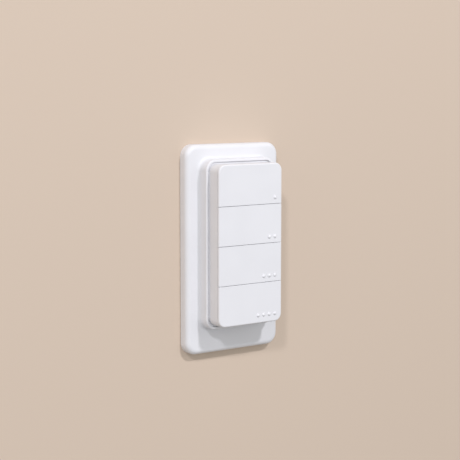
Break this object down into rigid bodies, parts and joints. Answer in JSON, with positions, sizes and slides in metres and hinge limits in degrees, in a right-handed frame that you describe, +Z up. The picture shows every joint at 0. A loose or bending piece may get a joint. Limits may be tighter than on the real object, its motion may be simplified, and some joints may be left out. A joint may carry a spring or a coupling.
{
  "type": "wireless remote wall switch",
  "caption": "White hand remote with stacked push keys and raised touch dots, held by magnets in a rounded wall plate with a raised collar.",
  "frame": {"origin": "on the wall plane, at the middle of the wall plate's back", "axes": "+X to the right as seen from the room, +Y into the wall, +Z up"},
  "size_m": [0.0466, 0.0171, 0.086],
  "materials": {
    "plate_plastic": "satin moulded white",
    "case_plastic": "satin moulded white",
    "key_plastic": "fine matte moulded white",
    "frame_plastic": "moulded, natural white",
    "tray_plastic": "moulded black",
    "black_plastic": "moulded black",
    "foam_tape": "white foam with a paper liner",
    "board_laminate": "green solder resist",
    "capacitor_ceramic": "fired ceramic",
    "keeper_steel": "zinc plated",
    "magnet_nickel": "nickel plated",
    "cell_steel": "bright pressed steel",
    "contact_spring": "tin plated",
    "switch_steel": "pressed bright",
    "screw_steel": "zinc plated"
  },
  "bodies": {
    "holder": {"wall_plate": "plate_plastic", "mounting_tape": "foam_tape", "keeper_disc_upper": "keeper_steel", "keeper_disc_lower": "keeper_steel"},
    "remote": {"remote_case": "case_plastic", "remote_magnet_upper": "magnet_nickel", "remote_magnet_lower": "magnet_nickel", "coin_cell": "cell_steel", "battery_tray": "tray_plastic", "battery_positive_contact": "contact_spring", "battery_negative_contact": "contact_spring", "circuit_board": "board_laminate", "switch_terminals": "contact_spring", "radio_chip": "black_plastic", "crystal": "cell_steel", "chip_capacitors": "capacitor_ceramic", "key_frame": "frame_plastic", "frame_screws": "screw_steel", "switch_base_1": "black_plastic", "switch_cover_1": "switch_steel", "switch_base_2": "black_plastic", "switch_cover_2": "switch_steel", "switch_base_3": "black_plastic", "switch_cover_3": "switch_steel", "switch_base_4": "black_plastic", "switch_cover_4": "switch_steel"},
    "key_1": {"key_1": "key_plastic", "switch_plunger_1": "black_plastic"},
    "key_2": {"key_2": "key_plastic", "switch_plunger_2": "black_plastic"},
    "key_3": {"key_3": "key_plastic", "switch_plunger_3": "black_plastic"},
    "key_4": {"key_4": "key_plastic", "switch_plunger_4": "black_plastic"},
    "battery_cover": {"battery_cover": "case_plastic"}
  },
  "joints": [
    {"name": "remote_pull_off", "type": "slide", "parent": "holder", "child": "remote", "axis": [0, -1, 0], "range_m": [0, 0.03]},
    {"name": "battery_cover_turn", "type": "hinge", "parent": "remote", "child": "battery_cover", "pos_m": [0, -0.0045, 0.0024], "axis": [0, 1, 0], "range_deg": [0, 40]},
    {"name": "key_1_press", "type": "slide", "parent": "remote", "child": "key_1", "axis": [0, 1, 0], "range_m": [0, 0.00015], "stiffness_N_per_m": 4000},
    {"name": "key_2_press", "type": "slide", "parent": "remote", "child": "key_2", "axis": [0, 1, 0], "range_m": [0, 0.00015], "stiffness_N_per_m": 4000},
    {"name": "key_3_press", "type": "slide", "parent": "remote", "child": "key_3", "axis": [0, 1, 0], "range_m": [0, 0.00015], "stiffness_N_per_m": 4000},
    {"name": "key_4_press", "type": "slide", "parent": "remote", "child": "key_4", "axis": [0, 1, 0], "range_m": [0, 0.00015], "stiffness_N_per_m": 4000}
  ]
}
